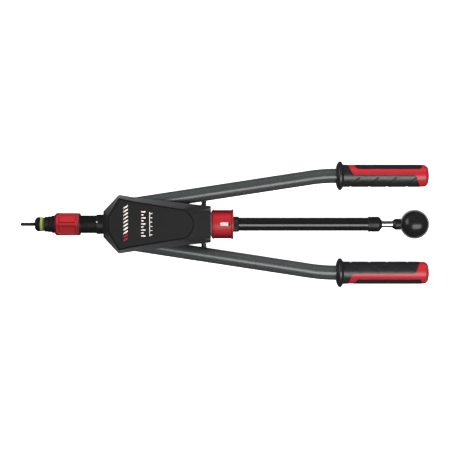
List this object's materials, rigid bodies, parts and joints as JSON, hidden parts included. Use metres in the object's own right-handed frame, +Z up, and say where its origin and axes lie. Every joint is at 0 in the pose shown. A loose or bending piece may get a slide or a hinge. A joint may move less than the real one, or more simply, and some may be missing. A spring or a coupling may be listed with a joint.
{
  "type": "rivet nut hand tool",
  "caption": "Two-handed lever tool that sets blind rivet nuts, with a push knob that spins its threaded mandrel and a ring that sets the stroke.",
  "frame": {"origin": "on the tool axis at the face of the anvil", "axes": "+X from the nose back to the grips, +Z up with the tool lying flat, +Y towards the right-hand lever"},
  "size_m": [0.5601, 0.1726, 0.0465],
  "materials": {
    "mandrel_steel": "black-oxide threaded steel, worn bright on the crests",
    "bright_steel": "machined",
    "bright_rod": "polished nickel plate",
    "white_enamel": "baked white enamel",
    "dark_steel": "blackened and oiled",
    "grey_steel": "dark grey phosphate",
    "black_steel": "black oxide",
    "black_tube": "smooth gloss black",
    "grey_tube": "dark grey metallic coat",
    "black_plastic": "fine-grained glass-filled nylon",
    "gloss_black": "polished phenolic",
    "red_anodised": "satin red",
    "red_plastic": "fine satin",
    "lime_ring": "matt",
    "black_rubber": "matt soft rubber",
    "bronze": "sintered bronze",
    "brass_cage": "stamped"
  },
  "bodies": {
    "body": {"front_guide": "black_steel", "rear_bush": "dark_steel", "upper_shell": "black_plastic", "lower_shell": "black_plastic", "cover_panel": "black_plastic", "shell_screws": "black_steel", "upper_frame_plate": "bright_steel", "lower_frame_plate": "bright_steel", "frame_screws": "black_steel", "pivot_pins": "bright_steel", "pivot_clips": "black_steel", "lever_washers": "bright_steel", "lever_bumpers": "black_rubber", "rear_plug": "black_steel", "guide_tube": "black_tube", "tube_nut": "black_steel", "tube_end_cap": "black_steel", "rod_bush": "bronze", "thrust_race_front": "bright_steel", "thrust_balls": "bright_steel", "thrust_cage": "brass_cage"},
    "nose": {"anvil": "dark_steel", "size_ring": "lime_ring", "nose_holder": "grey_steel", "barrel": "dark_steel", "rack_sleeve": "bright_steel"},
    "collar_wiper": {"collar_wiper": "black_rubber"},
    "lock_collar": {"lock_collar": "red_anodised"},
    "stroke_ring": {"stroke_ring": "red_anodised"},
    "stop_nut": {"stop_nut": "white_enamel"},
    "stop_washer": {"stop_washer": "bright_steel", "stop_pins": "bright_steel"},
    "spindle": {"mandrel": "mandrel_steel", "mandrel_retainer": "bright_steel", "spindle": "bright_steel", "thrust_race_rear": "bright_steel", "spindle_nut": "bright_steel", "twist_nut": "bronze", "twist_pins": "bright_steel"},
    "knob": {"twist_rod": "bright_rod", "knob_collar": "black_steel", "ball_knob": "gloss_black"},
    "right_lever": {"right_lever_head": "black_steel", "right_lever_bush": "bronze", "right_lever_tube": "grey_tube", "right_roll_pin": "bright_steel", "right_grip_core": "red_plastic", "right_grip_rubber": "black_rubber", "right_grip_pad": "black_rubber"},
    "left_lever": {"left_lever_head": "black_steel", "left_lever_bush": "bronze", "left_lever_tube": "grey_tube", "left_roll_pin": "bright_steel", "left_grip_core": "red_plastic", "left_grip_rubber": "black_rubber", "left_grip_pad": "black_rubber"}
  },
  "joints": [
    {"name": "right_lever_hinge", "type": "hinge", "parent": "body", "child": "right_lever", "pos_m": [0.117, 0.024, 0], "axis": [0, 0, 1], "range_deg": [0, 50]},
    {"name": "left_lever_hinge", "type": "hinge", "parent": "body", "child": "left_lever", "pos_m": [0.117, -0.024, 0], "axis": [0, 0, 1], "range_deg": [-50, 0]},
    {"name": "nose_slide", "type": "slide", "parent": "body", "child": "nose", "axis": [1, 0, 0], "range_m": [0, 0.0096]},
    {"name": "knob_slide", "type": "slide", "parent": "body", "child": "knob", "axis": [1, 0, 0], "range_m": [0, 0.11]},
    {"name": "spindle_spin", "type": "hinge", "parent": "body", "child": "spindle", "pos_m": [0, 0, 0], "axis": [1, 0, 0], "range_deg": [0, 2640.01]},
    {"name": "collar_travel", "type": "slide", "parent": "nose", "child": "collar_wiper", "axis": [1, 0, 0], "range_m": [0, 0.003]},
    {"name": "collar_turn", "type": "hinge", "parent": "collar_wiper", "child": "lock_collar", "pos_m": [0.0445, 0, 0], "axis": [1, 0, 0], "range_deg": [0, 720]},
    {"name": "ring_turn", "type": "hinge", "parent": "body", "child": "stroke_ring", "pos_m": [0.2568, 0, 0], "axis": [1, 0, 0], "range_deg": [-720, 0]},
    {"name": "stop_nut_travel", "type": "slide", "parent": "stroke_ring", "child": "stop_nut", "axis": [1, 0, 0], "range_m": [-0.004, 0]},
    {"name": "stop_washer_travel", "type": "slide", "parent": "body", "child": "stop_washer", "axis": [1, 0, 0], "range_m": [-0.004, 0]}
  ],
  "couplings": [
    {"joint": "left_lever_hinge", "follows": "right_lever_hinge", "ratio": -1},
    {"joint": "nose_slide", "follows": "right_lever_hinge", "m_per_rad": 0.011},
    {"joint": "spindle_spin", "follows": "knob_slide", "rad_per_m": 418.88},
    {"joint": "collar_travel", "follows": "collar_turn", "m_per_rad": 0.00023873},
    {"joint": "stop_nut_travel", "follows": "ring_turn", "m_per_rad": 0.0003183},
    {"joint": "stop_washer_travel", "follows": "ring_turn", "m_per_rad": 0.0003183}
  ]
}
